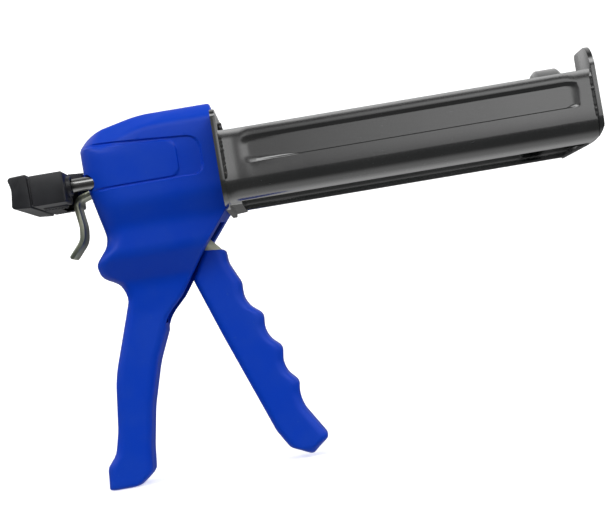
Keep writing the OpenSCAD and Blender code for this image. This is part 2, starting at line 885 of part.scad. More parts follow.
module knob_cap() {
    neck = 1.2;
    color([0.16, 0.16, 0.18]) difference() {
        union() {
            across(knob_half - 1) polygon([
                [cap_x1 - neck, knob_bottom + 1], [cap_x1, knob_bottom + 1],
                [cap_x1, knob_top - 1], [cap_x1 - neck, knob_top - 1]
            ]);
            across(knob_half + 0.5) polygon(rounded([
                [cap_x0 - 0.4, knob_bottom + 0.5, 2], [cap_x1 - neck, knob_bottom - 0.5, 1],
                [cap_x1 - neck, knob_top + 1.3, 1], [cap_x0 - 1, knob_top + 0.8, 2],
                [cap_x0 + 1, rod_height + 2, 12]
            ]));
        }
        both_rods() {
            cylinder_x(cap_x0 - 5, cap_x1 + 1, knob_screw_d / 2 + seat_gap);
            cylinder_x(cap_x0 - 5, cap_x0 + 5, knob_screw_d);
        }
    }
}

module knob_screws() {
    color("dimgray") both_rods() difference() {
        union() {
            cylinder_x(cap_x0 + 5 - seat_gap, rod_x0 + 12, knob_screw_d / 2);
            cylinder_x(cap_x0 + 1.5, cap_x0 + 5 - seat_gap, knob_screw_d - 0.4);
        }
        translate([cap_x0, 0, rod_height]) rotate([0, 90, 0]) cylinder(h = 3.5, r = 2.3, $fn = 6);
    }
}

housing_right();
housing_left();
housing_screws();
rear_guide();
front_guide();
carrier_plate();
carrier_screws();
cradle();
front_plate();
rear_weld();
front_weld();
trigger_pin();
drive_springs();
catch_springs();
trigger_grip();
trigger_lever();
trigger_rivets();
trigger_roller();
roller_pin();
drive_plate();
release_lever();
push_rod_right();
push_rod_left();
pusher_right();
pusher_left();
pusher_nuts();
pusher_clips();
pull_knob();
knob_cap();
knob_screws();
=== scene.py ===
import json
import math

import bmesh
import bpy
from mathutils import Matrix, Vector

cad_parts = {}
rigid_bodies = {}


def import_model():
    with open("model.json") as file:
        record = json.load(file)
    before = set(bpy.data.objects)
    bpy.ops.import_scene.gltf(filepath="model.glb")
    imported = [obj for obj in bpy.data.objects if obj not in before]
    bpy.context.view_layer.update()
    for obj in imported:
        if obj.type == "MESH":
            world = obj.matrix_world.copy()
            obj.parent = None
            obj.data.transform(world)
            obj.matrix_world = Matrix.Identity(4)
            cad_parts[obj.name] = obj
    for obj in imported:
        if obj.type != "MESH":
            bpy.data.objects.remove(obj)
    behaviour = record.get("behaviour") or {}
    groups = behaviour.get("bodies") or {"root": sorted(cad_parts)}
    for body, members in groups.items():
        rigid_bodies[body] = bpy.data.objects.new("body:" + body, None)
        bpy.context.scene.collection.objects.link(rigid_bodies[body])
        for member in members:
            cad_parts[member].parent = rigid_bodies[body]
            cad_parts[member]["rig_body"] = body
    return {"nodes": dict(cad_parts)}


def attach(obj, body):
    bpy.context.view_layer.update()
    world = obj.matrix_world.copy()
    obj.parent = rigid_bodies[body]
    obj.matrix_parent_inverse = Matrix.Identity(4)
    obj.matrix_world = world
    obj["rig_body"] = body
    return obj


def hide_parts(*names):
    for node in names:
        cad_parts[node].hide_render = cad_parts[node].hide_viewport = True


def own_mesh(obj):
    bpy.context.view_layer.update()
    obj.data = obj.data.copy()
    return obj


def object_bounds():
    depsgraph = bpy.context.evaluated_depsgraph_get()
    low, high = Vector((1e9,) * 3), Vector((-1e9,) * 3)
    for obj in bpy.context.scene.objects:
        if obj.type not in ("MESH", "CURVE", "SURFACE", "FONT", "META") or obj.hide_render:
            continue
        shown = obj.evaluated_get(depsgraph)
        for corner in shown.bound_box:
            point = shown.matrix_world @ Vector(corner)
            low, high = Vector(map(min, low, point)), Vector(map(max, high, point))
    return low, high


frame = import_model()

cad_low, cad_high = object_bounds()


# ---- Camera ----
# Level with the hand grip on the right-hand side of the gun, and rolled so
# that the barrel climbs to the right.
camera = bpy.data.objects.new("camera", bpy.data.cameras.new("camera"))
bpy.context.scene.collection.objects.link(camera)
bpy.context.scene.camera = camera
camera.location = (0.1024, -0.8017, 0.0110)
camera.rotation_euler = [math.radians(turn) for turn in (91.828, 9.547, -0.038)]
camera.data.lens = 76.94
bpy.context.scene.view_settings.view_transform = "Standard"
bpy.context.scene.view_settings.look = "None"


# ---- Studio: sweep and soft light ----
# A seamless white sweep under and round the gun. The light comes from a low and
# a high soft box on the camera's side, with paler light from behind and below.
class Signal:
    """A socket in a node tree. Arithmetic on it adds Math nodes, and node() adds any other."""

    def __init__(self, tree, socket=None):
        self.tree = tree
        self.socket = socket

    def node(self, kind, settings=None, sockets=None, out=0):
        made = self.tree.nodes.new(kind)
        for name, value in (settings or {}).items():
            setattr(made, name, value)
        for name, value in (sockets or {}).items():
            if isinstance(value, Signal):
                self.tree.links.new(value.socket, made.inputs[name])
            else:
                made.inputs[name].default_value = value
        return Signal(self.tree, made.outputs[out])

    def maths(self, operation, *values):
        return self.node("ShaderNodeMath", {"operation": operation}, dict(enumerate(values)))

    def __add__(self, other):
        return self.maths("ADD", self, other)

    def __sub__(self, other):
        return self.maths("SUBTRACT", self, other)

    def __rsub__(self, other):
        return self.maths("SUBTRACT", other, self)

    def __mul__(self, other):
        return self.maths("MULTIPLY", self, other)

    __radd__ = __add__
    __rmul__ = __mul__

    def between(self, low, high):
        """0 below low, 1 above high, and a smooth step from one to the other."""
        return self.node("ShaderNodeMapRange", {"interpolation_type": "SMOOTHSTEP"},
                         {"Value": self, "From Min": low, "From Max": high})

    def mix(self, first, second):
        """first where this is 0 and second where it is 1, both colours."""
        return self.node("ShaderNodeMix", {"data_type": "RGBA"},
                         {"Factor": self, 6: first, 7: second}, 2)

    def noise(self, scale, detail=2.0, rough=0.5, stretch=(1, 1, 1)):
        """Noise on Object coordinates, scale in features per metre."""
        place = self.node("ShaderNodeTexCoord", out="Object")
        if stretch != (1, 1, 1):
            place = self.node("ShaderNodeMapping", {}, {"Vector": place, "Scale": stretch})
        return self.node("ShaderNodeTexNoise", {},
                         {"Vector": place, "Scale": scale, "Detail": detail, "Roughness": rough})


world = bpy.data.worlds.new("studio")
bpy.context.scene.world = world
world.use_nodes = True
world.node_tree.nodes.clear()
sky = Signal(world.node_tree)
way = sky.node("ShaderNodeSeparateXYZ", {}, {"Vector": sky.node("ShaderNodeTexCoord", out="Generated")})
along_way = Signal(world.node_tree, way.socket.node.outputs["X"])
across_way = Signal(world.node_tree, way.socket.node.outputs["Y"])
up_way = Signal(world.node_tree, way.socket.node.outputs["Z"])
camera_side = 1 - across_way.between(-0.25, 0.35)
low_box = camera_side * up_way.between(-0.03, 0.09) * (1 - up_way.between(0.18, 0.28))
low_box = low_box * (along_way.between(-0.12, 0.28) * 0.95 + 0.22)
high_box = camera_side * up_way.between(0.34, 0.50) * (1 - up_way.between(0.66, 0.86))
table = (1 - camera_side) * (1 - up_way.between(-0.55, -0.20) + up_way.between(0.05, 0.30))
underneath = 1 - up_way.between(-0.97, -0.70)
light = 0.10 + low_box + high_box * 2.5 + table * 0.60 + underneath * 0.50
shine = sky.node("ShaderNodeBackground", {}, {"Color": (1.0, 1.0, 1.0, 1.0), "Strength": light})
world.node_tree.links.new(
    shine.socket, world.node_tree.nodes.new("ShaderNodeOutputWorld").inputs["Surface"])

floor_z = cad_low.z - 0.0003
sweep_r, sweep_bend, sweep_top = 6.0, 2.0, 7.0
bm = bmesh.new()
profile = [(0, floor_z), (0.4, floor_z), (1.5, floor_z), (sweep_r - sweep_bend, floor_z)]
for step in range(1, 9):
    turn = math.radians(90 * step / 8)
    profile.append((sweep_r - sweep_bend + sweep_bend * math.sin(turn),
                    floor_z + sweep_bend - sweep_bend * math.cos(turn)))
profile += [(sweep_r, sweep_top - 2), (sweep_r * 0.8, sweep_top - 0.6)]
profile += [(sweep_r * 0.4, sweep_top), (0, sweep_top)]
verts = [bm.verts.new((r, 0, z)) for r, z in profile]
edges = [bm.edges.new(pair) for pair in zip(verts, verts[1:])]
bmesh.ops.spin(bm, geom=verts + edges, cent=(0, 0, 0), axis=(0, 0, 1), angle=math.tau,
               steps=48, use_merge=True)
bmesh.ops.remove_doubles(bm, verts=bm.verts, dist=0.0001)
for face in bm.faces:
    face.smooth = True
sweep_mesh = bpy.data.meshes.new("sweep")
bm.to_mesh(sweep_mesh)
bm.free()
sweep = bpy.data.objects.new("sweep", sweep_mesh)
bpy.context.scene.collection.objects.link(sweep)
sweep.visible_diffuse = sweep.visible_glossy = sweep.visible_shadow = False
sweep.visible_transmission = False


def new_finish(name, **constants):
    """An empty material, its node tree as a Signal, and its shader with constants set on sockets."""
    made = bpy.data.materials.new(name)
    made.use_nodes = True
    shader = made.node_tree.nodes["Principled BSDF"]
    for socket, value in constants.items():
        shader.inputs[socket.replace("_", " ")].default_value = value
    return made, Signal(made.node_tree), shader


def feed(shader, **signals):
    """Links signals to a shader's sockets; height in metres goes through one Bump node."""
    for socket, signal in signals.items():
        if socket == "bump":
            signal = signal.node("ShaderNodeBump", {}, {"Height": signal, "Distance": 1.0})
            socket = "Normal"
        signal.tree.links.new(signal.socket, shader.inputs[socket.replace("_", " ")])


sweep_white, _, _ = new_finish(
    "sweep_white", Base_Color=(0.80, 0.80, 0.80, 1), Roughness=0.9, Specular_IOR_Level=0.0,
    Emission_Color=(1, 1, 1, 1), Emission_Strength=0.62)
sweep_mesh.materials.append(sweep_white)


# ---- Housing halves ----
# Two mirror-image shells moulded in blue plastic: the body round the rods and
# the hand grip in one. They meet on the middle plane and six screws hold them.
housing_side = [
    (66, 135.6, 2), (22, 135.6, 60), (-6, 129.5, 40), (-16.6, 124, 4), (-16.8, 104, 30),
    (-8, 62.5, 12), (-17.4, 50.6, 5), (-15.8, 42.5, 6), (-5.5, 37, 8), (-2.4, 28, 8),
    (-18, -18, 70), (-21.8, -50, 30), (-25.2, -64, 12), (-31.4, -71.2, 5), (-32, -84.7, 1.5),
    (-13, -84.7, 8), (-4.8, -78.7, 5), (-3.3, -64, 20), (1, -40, 60), (8.9, -13, 60),
    (21.5, 15, 24), (30, 24, 24), (48, 49.5, 3), (66, 71.5, 2),
]
housing_section = [
    (34, 150, 0), (34, 84, 14), (28, 70, 12), (28, 54, 12), (17, 36, 14), (15.5, 18, 20),
    (16, -90.7, 2), (0, -90.7, 0), (0, 150, 0),
]
head_half, facet_top_half, facet_foot_half = 34, 24.5, 32.6
housing_wall = 2.2
blue = (0.001, 0.060, 0.66, 1)
blue_worn = (0.03, 0.11, 0.60, 1)


def rounded_face(bm, corners, place):
    """A flat face through corners (a, b, radius), with place(a, b) giving each point."""
    points = [Vector(corner[:2]) for corner in corners]
    verts = [bm.verts.new(place(*point)) for point in points]
    face = bm.faces.new(verts)
    for i, vert in enumerate(verts):
        into, out = points[i] - points[i - 1], points[(i + 1) % len(points)] - points[i]
        turn = into.angle(out)
        radius = corners[i][2]
        if radius and turn > 0.01:
            bmesh.ops.bevel(
                bm, geom=[vert], offset=radius * math.tan(turn / 2), offset_type="OFFSET",
                segments=max(2, math.ceil(turn * math.sqrt(radius) * 2)), profile=0.5,
                affect="VERTICES", material=-1)
    return bm.faces[:]


def outline(corners):
    """Points (a, b) round the rounded outline through corners (a, b, radius)."""
    bm = bmesh.new()
    rounded_face(bm, corners, lambda a, b: (a, 0, b))
    bm.faces.ensure_lookup_table()
    points = [(vert.co.x, vert.co.z) for vert in bm.faces[0].verts]
    bm.free()
    return points


def span(points, level):
    """Lowest and highest a where an outline crosses b = level."""
    hits = []
    for (a0, b0), (a1, b1) in zip(points, points[1:] + points[:1]):
        if b0 != b1 and (b0 - level) * (b1 - level) <= 0:
            hits.append(a0 + (a1 - a0) * (level - b0) / (b1 - b0))
    return min(hits), max(hits)


def along(stops, at):
    """Straight-line value at a place between stops (place, value)."""
    if at <= stops[0][0]:
        return stops[0][1]
    for (p0, v0), (p1, v1) in zip(stops, stops[1:]):
        if at <= p1:
            return v0 + (v1 - v0) * (at - p0) / (p1 - p0)
    return stops[-1][1]


def soft_min(a, b, reach):
    """The smaller of two values, rounded where they meet."""
    mixed = max(0.0, reach - abs(a - b)) / reach
    return min(a, b) - mixed * mixed * reach / 4


def draw_in(depth, radius):
    """How far a side draws in, this far from a rim rounded to this radius."""
    short = max(0.0, radius - max(0.0, depth))
    return radius - math.sqrt(radius * radius - short * short)


def steps(*stops):
    """Levels from stop to stop, each stop a level and the spacing up to the next."""
    levels = []
    for (start, gap), (end, _) in zip(stops, stops[1:]):
        count = max(1, round((end - start) / gap))
        levels += [start + (end - start) * i / count for i in range(count)]
    return levels + [stops[-1][0]]


def loft(rings):
    """A closed skin through rings of points, the last point of each the same as its first."""
    bm = bmesh.new()
    columns, levels = len(rings[0]), len(rings)
    bmesh.ops.create_grid(bm, x_segments=columns - 1, y_segments=levels - 1, size=1)
    at = {}
    for vert in bm.verts:
        key = (round((vert.co.x + 1) / 2 * (columns - 1)), round((vert.co.y + 1) / 2 * (levels - 1)))
        at[key] = vert
    for (i, j), vert in at.items():
        vert.co = rings[j][i]
    for j in (0, levels - 1):
        bm.faces.new([at[i, j] for i in range(columns - 1)])
    bmesh.ops.remove_doubles(bm, verts=bm.verts, dist=0.002)
    bmesh.ops.recalc_face_normals(bm, faces=bm.faces)
    return bm


def signed_distance(points, a, b):
    """Distance from (a, b) to an outline, below 0 inside it."""
    nearest, inside = 1e9, False
    for (a0, b0), (a1, b1) in zip(points, points[1:] + points[:1]):
        da, db = a1 - a0, b1 - b0
        t = max(0.0, min(1.0, ((a - a0) * da + (b - b0) * db) / max(1e-9, da * da + db * db)))
        nearest = min(nearest, math.hypot(a0 + t * da - a, b0 + t * db - b))
        if (b0 > b) != (b1 > b) and a < a0 + (b - b0) * da / db:
            inside = not inside
    return -nearest if inside else nearest


def with_modifiers(bm, *modifiers):
    """Applies modifiers to a mesh, each a type and its settings, and gives the mesh back."""
    mesh = bpy.data.meshes.new("work")
    bm.to_mesh(mesh)
    bm.free()
    work = bpy.data.objects.new("work", mesh)
    bpy.context.scene.collection.objects.link(work)
    for kind, settings in modifiers:
        modifier = work.modifiers.new(kind, kind)
        for name, value in settings.items():
            setattr(modifier, name, value)
    result = bmesh.new()
    result.from_object(work, bpy.context.evaluated_depsgraph_get())
    bpy.data.objects.remove(work)
    return result


def cut_away(bm, cutters):
    """Takes the closed forms in cutters out of a closed mesh."""
    mesh = bpy.data.meshes.new("cutters")
    bmesh.ops.recalc_face_normals(cutters, faces=cutters.faces)
    cutters.to_mesh(mesh)
    cutters.free()
    tool = bpy.data.objects.new("cutters", mesh)
    bpy.context.scene.collection.objects.link(tool)
    bm = with_modifiers(bm, ("BOOLEAN", {"operation": "DIFFERENCE", "solver": "EXACT", "object": tool}))
    bpy.data.objects.remove(tool)
    return bm


def add_mesh(bm, more):
    """Adds another mesh to this one."""
    mesh = bpy.data.meshes.new("more")
    more.to_mesh(mesh)
    more.free()
    bm.from_mesh(mesh)
    bpy.data.meshes.remove(mesh)


def add_prism(bm, corners, place, shift):
    """Adds the solid between the outline at place(a, b) and the same outline moved by shift."""
    drawn = bmesh.new()
    rounded_face(drawn, corners, place)
    grown = bmesh.ops.extrude_face_region(drawn, geom=drawn.faces[:])["geom"]
    bmesh.ops.translate(drawn, vec=shift, verts=[v for v in grown if isinstance(v, bmesh.types.BMVert)])
    bmesh.ops.recalc_face_normals(drawn, faces=drawn.faces)
    add_mesh(bm, drawn)


def add_cylinder(bm, axis, radius, low, high, sides=48):
    """Adds a cylinder between two points along axis "X" or "Y"."""
    middle = (Vector(low) + Vector(high)) / 2
    turn = Matrix.Rotation(math.radians(90), 4, "Y" if axis == "X" else "X")
    bmesh.ops.create_cone(bm, cap_ends=True, segments=sides, radius1=radius, radius2=radius,
                          depth=(Vector(high) - Vector(low)).length,
                          matrix=Matrix.Translation(middle) @ turn)


def set_piece(name, bm, nodes, finish, sharp=35):
    """Makes a mesh drawn in millimetres a shown piece that stands for CAD nodes."""
    bmesh.ops.scale(bm, vec=(0.001, 0.001, 0.001), verts=bm.verts)
    for face in bm.faces:
        face.smooth = True
    for edge in bm.edges:
        edge.smooth = edge.calc_face_angle(0.0) < math.radians(sharp)
    mesh = bpy.data.meshes.new(name)
    bm.to_mesh(mesh)
    bm.free()
    mesh.materials.append(finish)
    piece = bpy.data.objects.new(name, mesh)
    bpy.context.scene.collection.objects.link(piece)
    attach(piece, frame["nodes"][nodes[0]]["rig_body"])
    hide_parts(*nodes)
    return piece


side_points, section_points = outline(housing_side), outline(housing_section)
turned_side = [(z, x) for x, z in side_points]
crease_line = [(-16.6, 113), (-2, 117.5), (11.5, 123), (20.6, 126), (34, 128.2), (49, 130.3),
               (66, 130.6)]
rear_radius = [(-84.7, 4), (-76, 6.5), (40, 6.5), (52, 9), (62, 13), (84, 20), (122, 20),
               (129, 4), (136, 2)]
front_radius = [(-84.7, 4), (-76, 5.5), (12, 5.5), (26, 3), (50, 1.4), (72, 0.8), (136, 0.8)]
seam = 0.45
side_low, side_high = cad_low.z * 1000, max(z for x, z in side_points)
head_back, head_front, rod_z = -16.6, 65.9, 100
rear_round_x, rear_round_r, rear_flat_half, rear_round_foot = 3.4, 20, 14, 55
facet_rise_from = 110


def housing_half(x, z):
    """Half the width of the housing over a point of its side outline."""
    top = span(turned_side, min(head_front, x))[1]
    if z < rod_z:
        half = span(section_points, z)[1]
    else:
        crease = along(crease_line, x)
        risen = max(0, (z - facet_rise_from) / (crease - facet_rise_from))
        half = head_half - (head_half - facet_foot_half) * risen ** 2
        facet = facet_top_half + (facet_foot_half - facet_top_half) * (top - z) / (top - crease)
        half = soft_min(half, facet, 1.4)
    half -= draw_in(top - z, 1.6) + draw_in(z - side_low, 2.4)
    if z > rear_round_foot and x < rear_round_x:
        back = rear_round_x - max(x, head_back)
        half = soft_min(half, rear_flat_half + math.sqrt(rear_round_r ** 2 - back ** 2), 1.0)
    return half


def housing_ring(z, inset=0):
    """One level of the right half, from the seam at the back to the seam in front and back again."""
    rear, front = span(side_points, z)
    rear, front = rear + inset, front - inset
    half = housing_half((rear + front) / 2, z) - inset
    reach = min(0.46 * (front - rear), half - 3)
    back_r, front_r = min(along(rear_radius, z), reach), min(along(front_radius, z), reach)
    ring = [(rear + seam, 0)]
    ring += [(rear, seam + (half - back_r - seam) * t) for t in (0, 0.3, 0.65)]
    for i in range(11):
        turn = math.radians(9 * i)
        ring.append((rear + back_r * (1 - math.cos(turn)), half - back_r * (1 - math.sin(turn))))
    low, high = rear + back_r, front - front_r
    ring += [(low + (high - low) * i / 28, half) for i in range(1, 28)]
    for i in range(7):
        turn = math.radians(90 - 15 * i)
        ring.append((front - front_r * (1 - math.cos(turn)), half - front_r * (1 - math.sin(turn))))
    ring += [(front, seam + (half - front_r - seam) * t) for t in (0.6, 0)]
    ring += [(front - seam, 0), (rear + seam, 0)]
    over = 1 if inset else 0
    return [(x, -soft_min(y, housing_half(x, z) - inset, 0.3) if y else over, z) for x, y in ring]


levels = steps((side_low + 0.01, 0.4), (-83.2, 0.9), (-80, 2.4), (36, 1.5), (62, 2.2), (122, 1.2),
               (129, 0.8), (134, 0.4), (135.2, 0.13), (side_high - 0.01, 0))
right = loft([housing_ring(z) for z in levels])

# The sunken field on the side, with a raised plaque in it and a strip left in front.
field = outline([(56.6, 93.5, 6), (56.6, 116.7, 8), (-60, 126.1, 0), (-60, 93.5, 0)])
plaque = outline([(42.3, 94.9, 5), (42.3, 116.2, 6), (-60, 124, 0), (-60, 94.9, 0)])
field_depth, plaque_depth, field_edge = 1.2, 0.3, 0.3
upright_cuts = steps((36, 1), (41.6, 0.35), (43, 1.4), (49.5, 1), (56.1, 0.5), (57.1, 0))
rises = (-8, -6.5, -5, -3.8, -2.8, -2.1, -1.6, -1.2, -0.8, -0.4, 0, 0.4)
field_slope = 0.0807
cuts = [((x, 0, 0), (1, 0, 0)) for x in upright_cuts]
cuts += [((0, 0, z), (0, 0, 1)) for z in steps((93, 0.35), (95.4, 1), (101, 0))]
cuts += [((56.6, 0, 116.7 + rise), (field_slope, 0, 1)) for rise in rises]
for place, facing in cuts:
    faces = [face for face in right.faces if face.calc_center_median().y < -25
             and face.calc_center_median().z > 90]
    parts = {part for face in faces for part in (*face.edges, *face.verts)}
    bmesh.ops.bisect_plane(right, geom=faces + list(parts), dist=0.02, plane_co=place, plane_no=facing)


def smooth_step(low, high, value):
    """0 below low and 1 above high, with a smooth step between."""
    t = max(0.0, min(1.0, (value - low) / (high - low)))
    return t * t * (3 - 2 * t)


for vert in right.verts:
    x, y, z = vert.co
    if y < -20 and z > 88:
        sunk = field_depth * smooth_step(field_edge, -field_edge, signed_distance(field, x, z))
        raised = smooth_step(field_edge, -field_edge, signed_distance(plaque, x, z))
        sunk -= (field_depth - plaque_depth) * raised
        vert.co.y += max(0, sunk) * smooth_step(24, 31, -y)
hollow_levels = steps((side_low + housing_wall, 4), (36, 3), (62, 4), (122, 2), (side_high - housing_wall, 0))
right = cut_away(right, loft([housing_ring(z, housing_wall) for z in hollow_levels]))

# The slots for the trigger and the release lever, and the holes for the rods.
rod_y, rod_hole_r = 23.5, 5
trigger_slot_half, lever_slot_half = 13.5, 10.5
openings = bmesh.new()
add_prism(openings, [(17, 2, 0), (17, 44, 4), (26, 66, 3), (100, 66, 0), (100, 2, 0)],
          lambda a, b: (a, -trigger_slot_half, b), (0, 2 * trigger_slot_half, 0))
add_prism(openings, [(-60, 90, 0), (-4, 90, 0), (-4, 98.5, 0), (-60, 98.5, 0)],
          lambda a, b: (a, -lever_slot_half, b), (0, 2 * lever_slot_half, 0))
for y in (-rod_y, rod_y):
    add_cylinder(openings, "X", rod_hole_r, (-60, y, rod_z), (100, y, rod_z))
right = cut_away(right, openings)

left = right.copy()
bmesh.ops.scale(left, vec=(1, -1, 1), verts=left.verts)
bmesh.ops.reverse_faces(left, faces=left.faces)
screw_places = [(54, 124, 30), (8, 122, 31), (-1, 72, 28), (7, 31, 17), (-6, -20, 15.5),
                (-17, -72.7, 15.5)]
screw_seat_r, screw_seat_depth = 3.45, 4.5
bores = bmesh.new()
for x, z, half in screw_places:
    add_cylinder(bores, "Y", screw_seat_r, (x, half - screw_seat_depth, z), (x, 50, z))
left = cut_away(left, bores)

blue_plastic, made, shader = new_finish("blue_plastic", Specular_IOR_Level=0.2)
mottle = made.noise(38, 3, 0.6)
grain = made.noise(2600, 2, 0.5)
specks = made.noise(520, 2, 0.7).between(0.66, 0.74) * mottle.between(0.42, 0.6)
scratches = made.noise(150, 3, 0.6, (1, 9, 0.9)).between(0.70, 0.76)
scratches = scratches * made.noise(26, 1).between(0.5, 0.6)
feed(shader,
     Base_Color=(mottle.between(0.35, 0.7) * 0.16 + specks * 0.25 + scratches * 0.3).mix(blue, blue_worn),
     Roughness=0.37 + (mottle - 0.5) * 0.16 + (grain - 0.5) * 0.12 + scratches * 0.14,
     bump=grain * 0.000018 + made.noise(240, 2) * 0.00002 - scratches * 0.00001)

set_piece("housing_right_moulding", right, ["housing_right"], blue_plastic)
set_piece("housing_left_moulding", left, ["housing_left"], blue_plastic)


# ---- Trigger grip ----
# A solid blue plastic grip with four finger crests, moulded round the steel
# lever and held on it by two rivets.
pivot = Vector((34, 70))
grip_half = 12.5
finger_dir = Vector((0.36, -0.93)).normalized()
finger_out = Vector((-finger_dir.y, finger_dir.x))
finger_pitch, finger_bow, groove_depth = 23.4, 2.2, 3.6
crests = [pivot + Vector((32.5, -43)) + finger_dir * finger_pitch * i
          + finger_out * finger_bow * math.sin(math.radians(60 * i)) for i in range(4)]
grooves = [(a + b) / 2 - finger_out * groove_depth * 1.6 for a, b in zip(crests, crests[1:])]
toe = crests[3] + Vector((0.8, -44.8))
grip_side = [
    (60, 48.3, 2), (46.4, 49.3, 2), (37.8, 33, 4), (49.8, -2.4, 40),
    (toe.x - 19.8, toe.y + 17.3, 10),
    (toe.x - 13, toe.y + 5.9, 6), (toe.x, toe.y, 2.5), (toe.x + 11.7, toe.y + 9.1, 3),
    (crests[3].x - 2.2, crests[3].y - 11.5, 20),
]
for i in (3, 2, 1, 0):
    grip_side.append((*crests[i], 5))
    if i:
        grip_side.append((*grooves[i - 1], 13))
grip_side.append((60.6, 40, 10))
grip_points = outline(grip_side)
grip_low, grip_high = min(z for x, z in grip_points), max(z for x, z in grip_points)


def grip_ring(z):
    """Points round one level of the grip, a rectangle with well rounded corners."""
    back, front = span(grip_points, z)
    half = grip_half - draw_in(grip_high - z, 1.4) - draw_in(z - grip_low, 5)
    back_r, front_r = min(4.5, 0.42 * (front - back)), min(6, 0.5 * (front - back))
    quarter = []
    for i in range(5):
        quarter.append((back, (half - back_r) * i / 5))
    for i in range(9):
        turn = math.radians(90 * i / 8)
        quarter.append((back + back_r * (1 - math.cos(turn)), half - back_r * (1 - math.sin(turn))))
    low, high = back + back_r, front - front_r
    quarter += [(low + (high - low) * i / 6, half) for i in range(1, 6)]
    for i in range(9):
        turn = math.radians(90 - 90 * i / 8)
        quarter.append((front - front_r * (1 - math.cos(turn)), half - front_r * (1 - math.sin(turn))))
    quarter += [(front, (half - front_r) * i / 4) for i in (3, 2, 1, 0)]
    return [(x, -y, z) for x, y in quarter] + [(x, y, z) for x, y in quarter[-2::-1]]


grip_levels = steps((grip_low + 0.01, 0.35), (grip_low + 2, 1.1), (46.5, 0.4), (grip_high - 0.01, 0))
grip = loft([grip_ring(z) for z in grip_levels])
pocket_half = 8.6
pocket = bmesh.new()
add_prism(pocket, [(45.6, 36, 0), (58.6, 36, 0), (58.6, 58, 0), (45.6, 58, 0)],
          lambda a, b: (a, -pocket_half, b), (0, 2 * pocket_half, 0))
grip = cut_away(grip, pocket)
set_piece("trigger_grip_moulding", grip, ["trigger_grip"], blue_plastic)


# ---- Cartridge tray ----
# One sheet of steel pressed to a trough for the pair of cartridges, open above
# and with a window in the floor, then painted black. A panel stiffens each wall.
sheet = 1.6
tray_back, tray_front, plate_front = 69, 288.5, 291.5
tray_floor, tray_top, tray_half = 71.4, 114.8, 49
front_bend, flare_length, flare_out = 12, 9, 1.7
window_back, window_front, window_half, window_below = 76, 282.5, 41, 78
panel_back, panel_front, panel_low, panel_high = 82, 279.5, 93.9, 108.6
panel_corner, panel_depth, edge_lean = 5, 0.7, 0.04
paint_black = (0.007, 0.0085, 0.0085, 1)
paint_dust = (0.05, 0.052, 0.05, 1)

section = outline([(-tray_half, tray_top, 0), (-tray_half, tray_floor, 14),
                   (tray_half, tray_floor, 14), (tray_half, tray_top, 0)])
first = min(range(len(section)), key=lambda i: (section[i][0], -section[i][1]))
section = section[first:] + section[:first]
if section[1][1] > tray_top - 1:
    section = section[:1] + section[:0:-1]


def front_floor(x):
    """Lowest height of the tray at x, rising in the bend under the front plate."""
    past = max(0, x - (plate_front - front_bend))
    return tray_floor + front_bend - math.sqrt(front_bend ** 2 - past ** 2)


panel_cuts = steps((93.3, 0.3), (94.5, 1), (98.4, 5), (103.4, 1), (106.4, 0.5), (109.4, 0))
tray = bmesh.new()
tray_steps = steps((tray_back, 0.9), (79, 3), (91, 14), (268, 2.2), (279.5, 0.75), (tray_front, 0))
bmesh.ops.create_grid(tray, x_segments=len(section) - 1, y_segments=len(tray_steps) - 1, size=1)
for vert in tray.verts:
    y, z = section[round((vert.co.x + 1) / 2 * (len(section) - 1))]
    vert.co = (tray_steps[round((vert.co.y + 1) / 2 * (len(tray_steps) - 1))], y, z)
for place, facing in (
    [((0, 0, z), (0, 0, 1)) for z in panel_cuts]
    + [((x, 0, 0), (1, 0, 0)) for x in (window_back, window_front, 81, 82, 83, 84.5, 86, 88)]
    + [((0, y, 0), (0, 1, 0)) for y in (-window_half, window_half)]
):
    bmesh.ops.bisect_plane(tray, geom=tray.faces[:] + tray.edges[:] + tray.verts[:], dist=0.01,
                           plane_co=place, plane_no=facing)
middles = [(face, face.calc_center_median()) for face in tray.faces]
bmesh.ops.delete(tray, context="FACES", geom=[
    face for face, at in middles
    if window_back < at.x < window_front and abs(at.y) < window_half and at.z < window_below])
bmesh.ops.recalc_face_normals(tray, faces=tray.faces)
floor_face = min(tray.faces, key=lambda f: f.calc_center_median().z)
if floor_face.normal.z > 0:
    bmesh.ops.reverse_faces(tray, faces=tray.faces)
tray.normal_update()
for vert in tray.verts:
    x, y, z = vert.co
    outward = Vector((0, vert.normal.y, vert.normal.z)).normalized()
    flare = flare_out * max(0, 1 - (x - tray_back) / flare_length) ** 2
    if abs(y) > tray_half - 0.1:
        from_x = abs(x - (panel_back + panel_front) / 2) - (panel_front - panel_back) / 2
        from_z = abs(z - (panel_low + panel_high) / 2) - (panel_high - panel_low) / 2
        past = math.hypot(max(from_x + panel_corner, 0), max(from_z + panel_corner, 0)) - panel_corner
        reach = 0.3 if z < panel_low + panel_corner else 1.2
        if x < panel_back + 12:
            reach = 3.0
        lean = max(0, z - panel_high) * edge_lean
        vert.co.y -= math.copysign(panel_depth * smooth_step(reach, -reach, past + 0.3) + lean, y)
    vert.co += outward * flare
    vert.co.z = max(vert.co.z, front_floor(x))
tray = with_modifiers(
    tray, ("SOLIDIFY", {"thickness": sheet, "offset": -1, "use_even_offset": True}),
    ("BEVEL", {"width": 0.35, "segments": 2, "limit_method": "ANGLE",
               "angle_limit": math.radians(50)}))

